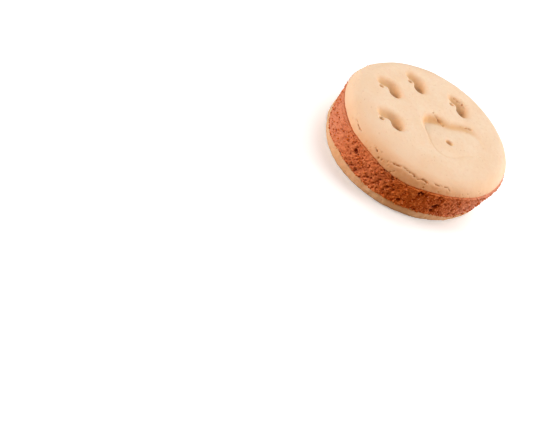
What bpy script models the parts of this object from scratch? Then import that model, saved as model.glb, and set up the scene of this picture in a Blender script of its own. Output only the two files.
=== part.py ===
"""A round sandwich biscuit for a dog: two pale biscuit layers hold a thick, crumbly red filling, and
a paw print with docker holes is pressed into the upper layer.

Units are metres and +Z is up. The biscuit lies on z = 0 with the middle of its box over the
origin, and the toes of the paw print point to +Y. Each layer is one closed solid.
"""

import math
import random

import bmesh
import bpy
from mathutils import Vector, noise

MM = 0.001

# The whole biscuit. Its plan is a circle drawn out a little, with three very weak corners.
RADIUS = 25.0 * MM
THICKNESS = 13.2 * MM
OVAL = 0.0132
OVAL_DIRECTION = math.radians(-23.0)
CORNERS = 0.0069
CORNER_DIRECTION = math.radians(-56.0)
ROUND_STEPS = 112

# The seams between the layers. The upper one rises to the rim, and both sag in some directions:
# each entry of a sag is a direction, how far it spreads and how far the seam goes down.
LOWER_SEAM = 3.0 * MM
UPPER_SEAM = 10.2 * MM
SEAM_GAP = 0.3 * MM
UPPER_RIM_RISE = 0.55 * MM
SEAM_FADE = 4
UNDERSIDE_RING = 0.8
UPPER_SAGS = (
    (math.radians(212.0), math.radians(20.0), 1.05 * MM),
    (math.radians(75.0), math.radians(18.0), 0.5 * MM),
    (math.radians(330.0), math.radians(22.0), 0.4 * MM),
)
LOWER_SAGS = (
    (math.radians(200.0), math.radians(9.0), 0.2 * MM),
    (math.radians(258.0), math.radians(7.0), 0.6 * MM),
    (math.radians(172.0), math.radians(8.0), -0.4 * MM),
    (math.radians(20.0), math.radians(10.0), 0.4 * MM),
)

# The upper layer: its shoulder is part of an ellipse that the seam cuts off, with a small lip there.
SHOULDER_IN = 4.66 * MM
SHOULDER_HEIGHT = 3.86 * MM
SHOULDER_STEPS = 7
TOP_LIP = 0.15 * MM

# The lower layer, with its rounded foot. It swells in some directions: each entry is a direction,
# how far the swelling spreads and how proud it stands.
BASE_TOP_RADIUS = 24.9 * MM
BASE_RADIUS = 25.15 * MM
BASE_SWELLINGS = ((math.radians(174.0), math.radians(22.0), 0.5 * MM),)
BASE_FOOT = 1.3 * MM
BASE_LIP = 0.2 * MM

# The filling: it swells out at two places, and its crumbly side has bumps at two sizes and pits
# where crumbs have come away.
FILLING_RADIUS = 24.85 * MM
FILLING_SWELLINGS = (
    (math.radians(150.0), math.radians(20.0), 0.5 * MM),
    (math.radians(272.0), math.radians(16.0), 0.3 * MM),
)
FILLING_STEPS = 216
FILLING_ROWS = 9
CRUMB_RELIEF = 0.28 * MM
CRUMB_SIZE = 1.5 * MM
LUMP_RELIEF = 0.16 * MM
LUMP_SIZE = 4.5 * MM
PITS = 120
PIT_DEPTH = 0.5 * MM
PIT_RADIUS = 0.95 * MM
PIT_SEED = 7

# The paw print. A toe is a bent egg, shallow at the tip by its docker hole and deep at its heel.
# Its wall is less steep on the right. Each entry gives the hole's place, the direction of the tip
# and how far to its right the toe lies.
TOES = {
    "toe_1": (-14.4 * MM, 4.4 * MM, math.radians(116.0), 1.0 * MM),
    "toe_2": (-6.3 * MM, 14.9 * MM, math.radians(110.0), 0.8 * MM),
    "toe_3": (5.9 * MM, 15.1 * MM, math.radians(88.0), 0.3 * MM),
    "toe_4": (14.1 * MM, 4.1 * MM, math.radians(84.0), 1.1 * MM),
}
TOE_LENGTH = 6.2 * MM
TOE_WIDTH = 2.6 * MM
TOE_TAPER = -0.15
TOE_BEND = 0.6 * MM
TOE_HEEL_DEPTH = 2.4 * MM
TOE_TIP_DEPTH = 1.3 * MM
TOE_MIDDLE_FROM_HOLE = 1.8 * MM
TOE_WALL_SKEW = 0.3
TOE_POINTS = 28

# The main pad is a rounded triangle, wavy about a circle, with its hole near the middle. It is
# deepest towards the toes.
PAD_HOLE = (0.1 * MM, -8.4 * MM)
PAD_CENTRE_FROM_HOLE = (1.6 * MM, 0.3 * MM)
PAD_RADIUS = 7.2 * MM
PAD_STRETCH = 0.2
PAD_CORNER_DIRECTION = math.radians(100.0)
PAD_STRETCH_TURN = math.radians(55.0)
PAD_LOBES = 0.14
PAD_SQUARENESS = 0.04
PAD_DEEPEST_DIRECTION = math.radians(124.0)
PAD_DEEPEST = 1.8 * MM
PAD_SHALLOWEST = 0.6 * MM
PAD_POINTS = 56

# The section of a dent: inner rings as a share of the floor's size with a share of the pillow's
# height, then outer rings as a distance past the floor's edge with a share of the depth.
FLOOR_PILLOW = 0.3 * MM
FLOOR_RINGS = ((0.3, 1.0), (0.65, 0.8), (0.88, 0.35), (1.0, 0.0))
WALL_RINGS = ((0.35 * MM, 0.4), (0.85 * MM, 0.7), (1.5 * MM, 0.89), (2.3 * MM, 0.985), (2.8 * MM, 1.12))

HOLE_RADIUS = 0.57 * MM
HOLE_DEPTH = 1.1 * MM
HOLE_SIDES = 12

# Linear colours of the baked dough and of the red filling.
DOUGH_COLOUR = (0.86, 0.62, 0.39, 1.0)
FILLING_COLOUR = (0.52, 0.13, 0.06, 1.0)


def clear_scene():
    """Removes whatever objects the file holds."""
    for thing in list(bpy.data.objects):
        bpy.data.objects.remove(thing, do_unlink=True)


def collection(name):
    """Makes a collection in the scene."""
    made = bpy.data.collections.new(name)
    bpy.context.scene.collection.children.link(made)
    return made


def matte(name, colour, roughness):
    """Makes a matte material."""
    material = bpy.data.materials.new(name)
    material.use_nodes = True
    shader = material.node_tree.nodes["Principled BSDF"]
    shader.inputs["Base Color"].default_value = colour
    shader.inputs["Roughness"].default_value = roughness
    shader.inputs["Metallic"].default_value = 0.0
    material.diffuse_color = colour
    return material


def plan_factor(angle):
    """How far out the biscuit's outline lies in this direction, as a share of a circle's radius."""
    oval = OVAL * math.cos(2.0 * (angle - OVAL_DIRECTION))
    corners = CORNERS * math.cos(3.0 * (angle - CORNER_DIRECTION))
    return 1.0 + oval + corners


def swelling(angle, swellings):
    """How far a side stands out in this direction by its swellings."""
    proud = 0.0
    for direction, spread, amount in swellings:
        proud += amount * math.exp(-((math.remainder(angle - direction, math.tau) / spread) ** 2))
    return proud


def plan_middle():
    """The middle of the box round the layers, which goes over the origin."""
    across = []
    along = []
    for radius, swellings in ((RADIUS, ()), (BASE_RADIUS, BASE_SWELLINGS)):
        for step in range(720):
            angle = math.tau * step / 720
            spread = radius * plan_factor(angle) + swelling(angle, swellings)
            across.append(spread * math.cos(angle))
            along.append(spread * math.sin(angle))
    return Vector(((max(across) + min(across)) / 2.0, (max(along) + min(along)) / 2.0, 0.0))


def upper_seam_shift(angle):
    """How far the rim of the upper seam lies above its middle in this direction."""
    return UPPER_RIM_RISE - swelling(angle, UPPER_SAGS)


def lower_seam_shift(angle):
    """How far the rim of the lower seam lies above its middle in this direction."""
    return -swelling(angle, LOWER_SAGS)


def seam_shift(height, angle):
    """How far a point at this height moves up with the seams: in full at a seam, and by a share
    between a seam and the next one, the underside or the face."""
    if height <= LOWER_SEAM:
        return lower_seam_shift(angle) * height / LOWER_SEAM
    if height <= UPPER_SEAM:
        share = (height - LOWER_SEAM) / (UPPER_SEAM - LOWER_SEAM)
        return (1.0 - share) * lower_seam_shift(angle) + share * upper_seam_shift(angle)
    return upper_seam_shift(angle) * (THICKNESS - height) / (THICKNESS - UPPER_SEAM)


def shoulder_profile(underside):
    """Profile of the upper layer's shoulder, from the face down to its lip at the seam."""
    lowest = THICKNESS - SHOULDER_HEIGHT
    end = math.acos((underside + TOP_LIP - lowest) / SHOULDER_HEIGHT)
    points = []
    for step in range(SHOULDER_STEPS + 1):
        turn = end * step / SHOULDER_STEPS
        radius = RADIUS - SHOULDER_IN * (1.0 - math.sin(turn))
        points.append((radius, lowest + SHOULDER_HEIGHT * math.cos(turn)))
    points.append((points[-1][0] - TOP_LIP, underside))
    return points


def turned(name, profile, steps, target):
    """Turns a profile, which runs down its outer side, about the Z axis into a closed solid."""
    mesh = bpy.data.meshes.new(name)
    points = [(radius, 0.0, height) for radius, height in profile]
    mesh.from_pydata(points, [(i, i + 1) for i in range(len(points) - 1)], [])
    guide = bpy.data.objects.new(name + "_profile", mesh)
    target.objects.link(guide)
    screw = guide.modifiers.new("Turn", "SCREW")
    screw.steps = steps
    screw.render_steps = steps
    screw.use_merge_vertices = True
    screw.merge_threshold = 0.00001
    depsgraph = bpy.context.evaluated_depsgraph_get()
    solid = bpy.data.objects.new(name, bpy.data.meshes.new_from_object(guide.evaluated_get(depsgraph)))
    target.objects.link(solid)
    bpy.data.objects.remove(guide, do_unlink=True)
    return solid


def settle(solid, relief=None):
    """Gives a turned layer the biscuit's plan, its wavy seams and, if asked, a relief on its side."""
    middle = plan_middle()
    for vertex in solid.data.vertices:
        across, along, height = vertex.co
        radius = math.hypot(across, along)
        angle = math.atan2(along, across)
        proud = relief(angle, height) if relief and radius > 0.9 * FILLING_RADIUS else 0.0
        spread = radius * plan_factor(angle) + proud
        lift = seam_shift(height, angle) * min(1.0, radius / RADIUS) ** SEAM_FADE
        vertex.co = Vector((spread * math.cos(angle), spread * math.sin(angle), height + lift)) - middle


def finish(solid, material):
    """Shades a layer smooth, with its creases kept, and gives it its material."""
    solid.data.shade_smooth()
    solid.data.set_sharp_from_angle(angle=math.radians(40.0))
    solid.data.materials.append(material)


def bent_egg(angle):
    """The floor of a toe, with its tip at +X and its middle bent to the right."""
    share = math.cos(angle)
    across = 0.5 * TOE_WIDTH * math.sin(angle) * (1.0 - TOE_TAPER * share)
    return Vector((0.5 * TOE_LENGTH * share, across - TOE_BEND * (1.0 - share * share)))


def rounded_triangle(angle):
    """The floor of the main pad, about its own middle, with the corner by the toes at +X."""
    stretch = PAD_STRETCH * math.cos(2.0 * (angle - PAD_STRETCH_TURN))
    lobes = PAD_LOBES * math.cos(3.0 * angle)
    squareness = PAD_SQUARENESS * math.cos(4.0 * angle)
    radius = PAD_RADIUS * (1.0 + stretch + lobes + squareness)
    return Vector((radius * math.cos(angle), radius * math.sin(angle)))


def outline(shape, count):
    """Points round a closed shape, anticlockwise."""
    return [shape(math.tau * step / count) for step in range(count)]


def middle_of(points):
    """The mean of points."""
    return sum(points, Vector((0.0, 0.0))) / len(points)


def moved_out(points, distance, skew):
    """The same outline, moved outwards by a distance that is longer the way the skew points."""
    moved = []
    for index, point in enumerate(points):
        tangent = points[(index + 1) % len(points)] - points[index - 1]
        outwards = Vector((tangent.y, -tangent.x)).normalized()
        moved.append(point + distance * (1.0 + outwards.dot(skew)) * outwards)
    return moved


def depth_at(point, points, depths, deepest):
    """The depth of a dent's floor at a point, which grows evenly from the first depth to the second
    one in the direction where it is deepest."""
    low = min(p.dot(deepest) for p in points)
    high = max(p.dot(deepest) for p in points)
    share = min(1.0, max(0.0, (point.dot(deepest) - low) / (high - low)))
    return depths[0] + share * (depths[1] - depths[0])


def heading(direction):
    """The unit vector in this direction."""
    return Vector((math.cos(direction), math.sin(direction)))


def dent_cutter(name, points, depths, deepest, skew, target):
    """The solid that presses one pad of the paw: a pillowed floor, a steep wall and a soft shoulder
    that ends just above the biscuit's face. Directions are in the pad's own frame."""
    shape = bmesh.new()
    loops = []
    for share, rise in FLOOR_RINGS:
        ring = [middle_of(points) + share * (p - middle_of(points)) for p in points]
        heights = [THICKNESS - depth_at(p, points, depths, deepest) + rise * FLOOR_PILLOW for p in ring]
        loops.append([shape.verts.new((*p, height)) for p, height in zip(ring, heights)])
    for out, rise in WALL_RINGS:
        ring = moved_out(points, out, skew)
        heights = [THICKNESS - depth_at(p, points, depths, deepest) * (1.0 - rise) for p in ring]
        loops.append([shape.verts.new((*p, height)) for p, height in zip(ring, heights)])
    for lower, upper in zip(loops, loops[1:]):
        for i in range(len(points)):
            j = (i + 1) % len(points)
            shape.faces.new((lower[i], lower[j], upper[j], upper[i]))
    shape.faces.new(reversed(loops[0]))
    shape.faces.new(loops[-1])
    return cutter_object(name, shape, target)


def pin_cutter(name, place, floor, depth, target):
    """The docker pin that pierces the floor of a pad, from well above the biscuit's face."""
    shape = bmesh.new()
    low = floor - depth
    high = THICKNESS + 0.5 * MM
    bmesh.ops.create_cone(
        shape,
        cap_ends=True,
        segments=HOLE_SIDES,
        radius1=0.8 * HOLE_RADIUS,
        radius2=HOLE_RADIUS,
        depth=high - low,
    )
    pin = cutter_object(name, shape, target)
    pin.location = Vector((place.x, place.y, (low + high) / 2.0))
    return pin


def cutter_object(name, shape, target):
    """Makes a hidden cutting object from a finished bmesh."""
    mesh = bpy.data.meshes.new(name)
    shape.to_mesh(mesh)
    shape.free()
    cutter = bpy.data.objects.new(name, mesh)
    cutter.hide_render = True
    cutter.display_type = "WIRE"
    target.objects.link(cutter)
    return cutter


def cut_by(solid, name, cutters):
    """Cuts a solid with every object of a collection."""
    cut = solid.modifiers.new(name, "BOOLEAN")
    cut.operation = "DIFFERENCE"
    cut.solver = "EXACT"
    cut.operand_type = "COLLECTION"
    cut.collection = cutters


def press_paw_print(layer):
    """Presses the toes and the main pad into the top layer, and then their docker holes."""
    pads = collection("pad_cutters")
    pins = collection("pin_cutters")
    toe_floor = outline(bent_egg, TOE_POINTS)
    for name, (across, along, direction, aside) in TOES.items():
        hole = Vector((across, along, 0.0))
        tip = heading(direction).to_3d()
        right = Vector((tip.y, -tip.x, 0.0))
        depths = (TOE_TIP_DEPTH, TOE_HEEL_DEPTH)
        heel = Vector((-1.0, 0.0))
        dent = dent_cutter(name, toe_floor, depths, heel, Vector((0.0, -TOE_WALL_SKEW)), pads)
        dent.location = hole - TOE_MIDDLE_FROM_HOLE * tip + aside * right
        dent.rotation_euler.z = direction
        pin_cutter(name + "_pin", hole, THICKNESS - TOE_TIP_DEPTH, HOLE_DEPTH, pins)
    hole = Vector((*PAD_HOLE, 0.0))
    pad_floor = outline(rounded_triangle, PAD_POINTS)
    deepest = heading(PAD_DEEPEST_DIRECTION - PAD_CORNER_DIRECTION)
    depths = (PAD_SHALLOWEST, PAD_DEEPEST)
    dent = dent_cutter("main_pad", pad_floor, depths, deepest, Vector((0.0, 0.0)), pads)
    dent.location = hole + Vector((*PAD_CENTRE_FROM_HOLE, 0.0))
    dent.rotation_euler.z = PAD_CORNER_DIRECTION
    pin_cutter("main_pad_pin", hole, THICKNESS - PAD_SHALLOWEST, HOLE_DEPTH, pins)
    cut_by(layer, "Press the pads", pads)
    cut_by(layer, "Pierce the holes", pins)


def top_layer(target, dough):
    """The upper biscuit: a broad soft shoulder down to the seam, and the paw print in its face."""
    underside = UPPER_SEAM + SEAM_GAP / 2.0
    inner_rings = [(share * (RADIUS - SHOULDER_IN), THICKNESS) for share in (0.0, 0.35, 0.7, 0.9)]
    below = [(UNDERSIDE_RING * RADIUS, underside), (0.0, underside)]
    layer = turned("top_biscuit", inner_rings + shoulder_profile(underside) + below, ROUND_STEPS, target)
    settle(layer)
    press_paw_print(layer)
    finish(layer, dough)


def filling_pits():
    """Seeded places and sizes of the pits in the filling's side."""
    draws = random.Random(PIT_SEED)
    pits = []
    for _ in range(PITS):
        angle = draws.uniform(-math.pi, math.pi)
        height = draws.uniform(LOWER_SEAM, UPPER_SEAM)
        size = draws.uniform(0.5, 1.0)
        pits.append((angle, height, size))
    return pits


def crumbly_side():
    """Makes the function that says how proud the filling's side stands at an angle and a height."""
    pits = filling_pits()

    def relief(angle, height):
        place = Vector((RADIUS * math.cos(angle), RADIUS * math.sin(angle), height))
        proud = CRUMB_RELIEF * noise.noise(place / CRUMB_SIZE)
        proud += LUMP_RELIEF * noise.noise(place / LUMP_SIZE)
        proud += swelling(angle, FILLING_SWELLINGS)
        for pit_angle, pit_height, size in pits:
            across = RADIUS * math.remainder(angle - pit_angle, math.tau)
            away = math.hypot(across, height - pit_height) / (size * PIT_RADIUS)
            if away < 1.0:
                proud -= size * PIT_DEPTH * (1.0 - away * away)
        return proud

    return relief


def filling_layer(target, red):
    """The filling: a thick disc that comes out about flush with the biscuits, its side crumbly."""
    low = LOWER_SEAM + SEAM_GAP / 2.0
    high = UPPER_SEAM - SEAM_GAP / 2.0
    side = [(FILLING_RADIUS, high + (low - high) * row / FILLING_ROWS) for row in range(FILLING_ROWS + 1)]
    inner = UNDERSIDE_RING * RADIUS
    profile = [(0.0, high), (inner, high)] + side + [(inner, low), (0.0, low)]
    layer = turned("filling", profile, FILLING_STEPS, target)
    settle(layer, crumbly_side())
    finish(layer, red)


def bottom_layer(target, dough):
    """The lower biscuit: a disc with a flat underside, whose side widens down to a rounded foot."""
    upper_side = LOWER_SEAM - SEAM_GAP / 2.0
    inner = 0.7 * BASE_RADIUS
    side = [(BASE_TOP_RADIUS - BASE_LIP, upper_side), (BASE_TOP_RADIUS, upper_side - 0.5 * BASE_LIP)]
    foot = []
    for step in range(7):
        turn = 0.5 * math.pi * step / 6
        foot.append((BASE_RADIUS - BASE_FOOT * (1.0 - math.cos(turn)), BASE_FOOT * (1.0 - math.sin(turn))))
    profile = [(0.0, upper_side), (inner, upper_side)] + side + foot + [(inner, 0.0), (0.0, 0.0)]
    layer = turned("bottom_biscuit", profile, ROUND_STEPS, target)
    settle(layer, lambda angle, height: swelling(angle, BASE_SWELLINGS))
    finish(layer, dough)


def main():
    clear_scene()
    biscuit = collection("dog_biscuit")
    dough = matte("dough", DOUGH_COLOUR, 0.85)
    red = matte("red_filling", FILLING_COLOUR, 0.9)
    top_layer(biscuit, dough)
    filling_layer(biscuit, red)
    bottom_layer(biscuit, dough)


main()
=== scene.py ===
"""Looks of the dog biscuit: two pale, baked biscuit layers with a paw print pressed into the upper
one, and a thick, crumbly red filling between them.

Lengths are in millimetres and become metres where a mesh is made. Directions are in degrees about
the biscuit's upright axis, anticlockwise from +X, and the toes of the paw print point to +Y.
"""

import math
import random

import bmesh
import bpy
import numpy as np
from mathutils import Euler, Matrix, Vector, kdtree, noise


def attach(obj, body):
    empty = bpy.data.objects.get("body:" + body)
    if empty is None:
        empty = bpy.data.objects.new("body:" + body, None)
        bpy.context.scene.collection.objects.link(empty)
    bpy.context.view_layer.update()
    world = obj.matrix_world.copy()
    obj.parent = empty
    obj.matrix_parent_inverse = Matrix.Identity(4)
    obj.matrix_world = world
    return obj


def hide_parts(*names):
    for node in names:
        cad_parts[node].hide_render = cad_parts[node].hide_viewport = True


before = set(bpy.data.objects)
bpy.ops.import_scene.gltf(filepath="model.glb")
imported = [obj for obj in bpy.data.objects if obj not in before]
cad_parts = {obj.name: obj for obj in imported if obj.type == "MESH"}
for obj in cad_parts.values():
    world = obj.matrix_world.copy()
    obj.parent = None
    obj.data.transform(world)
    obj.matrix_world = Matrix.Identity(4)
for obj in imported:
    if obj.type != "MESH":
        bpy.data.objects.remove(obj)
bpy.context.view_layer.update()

MM = 0.001

# The biscuit's plan and height.
RADIUS = 25.0
THICKNESS = 13.2
OVAL = 0.0132
OVAL_DIRECTION = -23.0
CORNERS = 0.0069
CORNER_DIRECTION = -56.0
PLAN_MIDDLE = (-0.41, 0.03)

# The seams between the layers. Each entry of a sag is a direction, its spread and how far it goes down.
UPPER_SEAM = 10.75
UPPER_SAGS = (
    (212.0, 20.0, 1.05),
    (75.0, 18.0, 0.5),
    (330.0, 22.0, 0.4),
    (277.0, 22.0, 0.6),
    (168.0, 12.0, 0.35),
)
LOWER_SEAM = 3.0
LOWER_SAGS = (
    (200.0, 9.0, 0.2),
    (258.0, 7.0, 0.6),
    (172.0, 8.0, -0.4),
    (20.0, 10.0, 0.4),
    (95.0, 6.0, 0.3),
)
SEAM_UNEVENNESS = 0.14

# Relief made of waves. Each entry is a height, the size of the bumps and a shift of the pattern.
SEAM_WAVES = ((1.0, 5.0, 0.0), (0.5, 1.6, 0.0))
TROUGH_WAVES = ((1.0, 1.1, 0.0), (0.4, 0.6, 20.0))
UPPER_WAVES = ((0.09, 8.0, 0.0), (0.05, 2.6, 0.0), (0.022, 0.9, 0.0))
LOW_WAVES = ((1.0, 1.3, 50.0),)
BASE_WAVES = ((0.1, 5.0, 90.0), (0.12, 1.8, 90.0), (0.06, 0.8, 0.0))
FILLING_WAVES = ((0.16, 4.5, 0.0), (0.2, 1.7, 0.0))
FILLING_FINE_WAVES = ((0.07, 0.4, 15.0),)
FILLING_GRAINS = ((0.24, 1.1, 0.0), (0.2, 0.62, 40.0))
GRAIN_LEVEL = 0.45

# The upper layer's shoulder is part of an ellipse that the seam cuts off.
SHOULDER_IN = 4.66
SHOULDER_HEIGHT = 3.86
EDGE_ROUNDING = 0.14
UPPER_EDGE_LIFT = 0.15
TOP_CELLS = 312
EDGE_FINENESS = 0.3
HIDDEN_STRIP = 2.5
HIDDEN_DROP = 0.75
UNDERSIDE_SLOPE = -0.2
SKIN_INSET = 0.1
LOW_ROUGHNESS = 0.07
PRINT_MARGIN = 1.0

# The lower layer and the filling. Each swelling is a direction, its spread and how proud it stands.
BASE_TOP_RADIUS = 24.9
BASE_RADIUS = 25.15
BASE_FOOT = 1.3
BASE_SWELLINGS = ((174.0, 22.0, 0.45),)
BASE_TOP_DROP = 0.03
BASE_SWELL_START = 20.0
BASE_SWELL_RUN = 4.5
BASE_SIDE_HEIGHT = 0.6
BASE_CELLS = 260
FILLING_RADIUS = 24.85
FILLING_SWELLINGS = (
    (160.0, 17.0, 0.45),
    (108.0, 26.0, -0.55),
    (272.0, 16.0, 0.25),
    (322.0, 24.0, -0.9),
)
FILLING_STEPS = 980
FILLING_ROWS = 46
FILLING_UNDER = 0.1
FILLING_OVER = 0.22
FILLING_RIM = 0.1
FILLING_RIM_HEIGHT = 0.3
PIT_DEPTH = 1.25
DEEPEST_PIT = 0.95
# Painted shade in the filling's pits is full at this depth.
PAINTED_SHADE_DEPTH = 0.75
# Painted highlight on the filling's proud bits is full at this height.
PAINTED_HIGHLIGHT_HEIGHT = 0.35
INNER_SHARE = 0.88
INNER_DROP = 1.05
# Painted light: the filling's side is paler towards these directions, where the fill lights fall on it.
# Each is a direction, its spread and amount.
FILLING_PAINTED_LIGHT = ((150.0, 32.0, 1.0), (198.0, 14.0, 0.35), (288.0, 34.0, 1.6))

# Loose crumbs. Those along a seam have its share of the filling's height, their spread about it,
# and the smallest and largest size.
CRUMBS = 1000
CRUMB_STAND = 0.12
CRUMB_ROUGHNESS = 0.35
SMALL_CRUMBS = 0.85
SMALL_CRUMB_SIZES = (0.09, 0.22)
LARGE_CRUMB_SIZES = (0.22, 0.34)
SEAM_CRUMBS = 420
SEAM_CRUMB_ROWS = ((0.0, 0.018, 0.1, 0.26), (1.0, 0.014, 0.08, 0.17))

# Pits and pores that are strewn about: how many, the smallest and largest radius, and how deep
# they go for their radius.
SHOULDER_PORES = 110
SHOULDER_PORE_SIZES = (0.13, 0.25)
FACE_PORES = 60
FACE_PORE_SIZES = (0.16, 0.22)
UPPER_PORE_DEPTH = 0.8
BASE_SIDE_PORES = 120
BASE_SIDE_PORE_SIZES = (0.2, 0.32)
UNDERSIDE_PORES = 260
UNDERSIDE_PORE_SIZES = (0.25, 0.6)
UNDERSIDE_PORE_REACH = 24.0
BASE_PORE_DEPTH = 0.6
FAR_PITS = 60
FAR_PIT_SIZES = (0.4, 0.9)
SMALL_PITS = 1100
SMALL_PIT_SIZES = (0.18, 0.4)

UPPER_PORE_SEED = 11
BASE_PORE_SEED = 23
PIT_SEED = 7
CRUMB_SEED = 29
CRUMB_SHAPE_SEED = 31

# The paw print. Each toe is a dent round a bent spine: the place near its tip, the direction of
# the tip and how far to the right of that place the tip lies. Then come the docker holes.
TOES = (
    (-14.4, 4.4, 109.0, 0.75),
    (-6.3, 14.9, 103.0, 0.55),
    (5.9, 15.1, 84.0, -0.1),
    (14.1, 4.1, 80.0, 0.25),
)
TOE_HOLES = ((-15.5, 3.75), (-7.5, 14.0), (4.1, 13.95), (12.4, 3.2))
TOE_TIP = 0.5
TOE_SPINE = 4.9
TOE_BEND = 1.15
TOE_HALF_WIDTH = 1.4
TOE_HEEL_HALF_WIDTH = 1.28
TOE_NARROWING = 0.55
TOE_NARROWEST = 0.14
TOE_NARROWING_SPREAD = 0.3
TOE_HEEL_DEPTH = 2.45
TOE_TIP_DEPTH = 1.3
TOE_NEAR_WALL = 0.17
TOE_FAR_WALL = 0.55
TOE_TIP_WALL = 0.34
# Painted shade in each toe's dent, with more of it at the heel.
TOE_PAINTED_SHADE = 0.85
TOE_HEEL_PAINTED_SHADE = 0.75
SPINE_POINTS = 9

PAD_HOLE = (0.1, -8.4)
PAD_CENTRE_FROM_HOLE = (1.6, 0.3)
PAD_RADIUS = 7.2
PAD_STRETCH = 0.2
PAD_CORNER_DIRECTION = 100.0
PAD_STRETCH_TURN = 55.0
PAD_LOBES = 0.14
PAD_SQUARENESS = 0.04
PAD_DEEPEST = 1.75
PAD_SHALLOWEST = 0.08
PAD_DEEPEST_DIRECTION = 68.0
PAD_FAR_DIRECTION = 66.0
PAD_NEAR_WALL = 0.2
PAD_FAR_WALL = 0.65
PAD_WALL_OUT = 0.45
PAD_FAR_WALL_OUT = 0.65
PAD_FLOOR_CURVE = 3.0
PAD_POINTS = 96
PAD_PILLOW = 0.07
PAD_PILLOW_REACH = 1.2
PAD_CREASE = 0.08
PAD_CREASE_WIDTH = 0.28
# Painted shade along the pad's faint crease.
PAD_CREASE_PAINTED_SHADE = 0.25
PAD_FADING_DIRECTION = -10.0
# Painted shade on the pad's walls, most on the far wall.
PAD_PAINTED_SHADE = 1.6
PAD_NEAR_PAINTED_SHADE = 0.1
PAD_FAR_PAINTED_SHADE = 1.2

SHOULDER_SHARE = 0.07
SHOULDER_LENGTH = 1.6
TROUGH_ROUGHNESS = 0.1
OVERLAP_SHARE = 0.3
NEAR_ZERO = 0.01

HOLE_RADIUS = 0.5
PAD_HOLE_RADIUS = 0.76
HOLE_STRETCH = 1.3
HOLE_STRETCH_DIRECTION = -56.0
HOLE_DEPTH = 0.65
HOLE_SOFTNESS = 0.22
# Painted shade in the docker holes.
HOLE_SHADE = 0.5
HOLE_PAINTED_SHADE = 1.2
CRATER_RADIUS = 1.1
CRATER_DEPTH = 0.15

# Cracks in the shoulder, as directions and radii along each, and half its width.
SHOULDER_CRACKS = (
    (((202.6, 23.3), (206.0, 23.1), (208.7, 22.7), (212.3, 22.85), (215.0, 22.9)), 0.1),
    (((213.5, 22.85), (217.0, 22.95), (218.7, 23.25), (220.4, 23.4)), 0.17),
    (((221.9, 22.95), (223.6, 23.05), (226.0, 23.35)), 0.16),
    (((229.1, 22.95), (233.2, 23.2), (236.8, 23.2), (239.5, 23.1), (241.1, 23.6)), 0.08),
    (((166.5, 23.3), (169.2, 23.3), (171.5, 23.55), (175.5, 23.5)), 0.12),
    (((189.0, 23.3), (191.5, 23.55)), 0.12),
    (((44.0, 23.0), (49.0, 23.4), (53.0, 23.2), (57.0, 23.5)), 0.14),
    (((318.0, 22.8), (323.0, 23.1), (326.0, 23.4)), 0.12),
)
CRACK_DEPTH = 0.4
CRACK_LIP = 0.05
CRACK_LIP_AWAY = 0.5
CRACK_LIP_WIDTH = 0.35
CRACK_JAG = 0.12
CRACK_JAG_SIZE = 0.6
CRACK_SHARES = (0.45, 1.25)

# Small pits on the shoulder: direction, radius on the plan and size.
SHOULDER_PITS = (
    (187.5, 23.2, 0.2),
    (189.0, 23.4, 0.24),
    (190.9, 23.5, 0.28),
    (192.6, 23.7, 0.2),
    (194.6, 24.15, 0.32),
    (196.6, 24.0, 0.28),
    (199.8, 23.6, 0.22),
    (201.2, 23.4, 0.2),
    (204.7, 24.5, 0.3),
    (217.2, 23.1, 0.3),
    (225.5, 23.4, 0.24),
)

# Tears in the far walls of the main pad and of the last toe, as points across and along, and half
# the width of each.
FACE_TEARS = (
    (((2.8, 1.8), (3.1, 0.3), (3.6, -0.5)), 0.2),
    (((3.45, -0.3), (3.7, -1.6), (3.8, -2.5)), 0.34),
    (((10.1, -5.3), (11.1, -5.9), (11.5, -6.5)), 0.16),
    (((15.6, 5.4), (16.0, 4.5), (16.6, 3.5), (16.9, 2.2)), 0.13),
    (((17.3, 3.6), (17.0, 1.9), (16.7, 0.5)), 0.1),
)
TEAR_DEPTH = 0.5
TEAR_REACH = 0.8

# Where the layers are browner: direction, spread and amount. Baking darkens the low shoulder all round;
# towards the front the shoulder and the face's edge are darker still, as painted shade.
FRONT_PAINTED_SHADE = ((225.0, 42.0, 1.0),)
FACE_PAINTED_SHADE = ((198.0, 62.0, 1.0),)
FACE_PAINTED_SHADE_SHARE = 0.38
FACE_TINT_START = 13.0
FACE_TINT_RUN = 9.0
# The lower layer is darker towards these directions.
BASE_DARKER_SIDES = ((160.0, 45.0, 0.15), (300.0, 38.0, 1.4))
SHOULDER_BAKED = 0.22
FRONT_PAINTED_SHADE_SHARE = 0.78
BASE_BAKED = 0.56
BASE_BLOTCHES = 0.25
BASE_BLOTCH_SIZE = 4.0
BASE_DARKER_SIDES_SHARE = 0.4

# How strongly painted shade darkens cracks, pores and the steep walls of the print.
CAVITY_SHADE = 0.85
PORE_SHADE = 2.5
PRINT_SHADE = 0.35

# Pits in the filling that the eye catches: direction, height and radius.
BIG_PITS = (
    (162.1, 5.6, 0.75),
    (174.8, 9.4, 0.4),
    (182.0, 7.9, 0.75),
    (188.6, 3.9, 0.5),
    (201.8, 4.7, 0.5),
    (208.4, 9.3, 0.5),
    (209.2, 6.2, 0.6),
    (219.0, 4.4, 0.7),
    (225.9, 6.7, 0.5),
    (226.6, 9.1, 0.85),
    (234.3, 8.1, 0.4),
    (240.9, 6.2, 1.0),
    (241.2, 4.5, 0.7),
    (253.9, 5.8, 0.7),
    (254.4, 3.7, 0.6),
)


# Plan and seams


def rad(degrees):
    """Degrees as radians, for numbers and arrays alike."""
    return np.radians(degrees)


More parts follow.
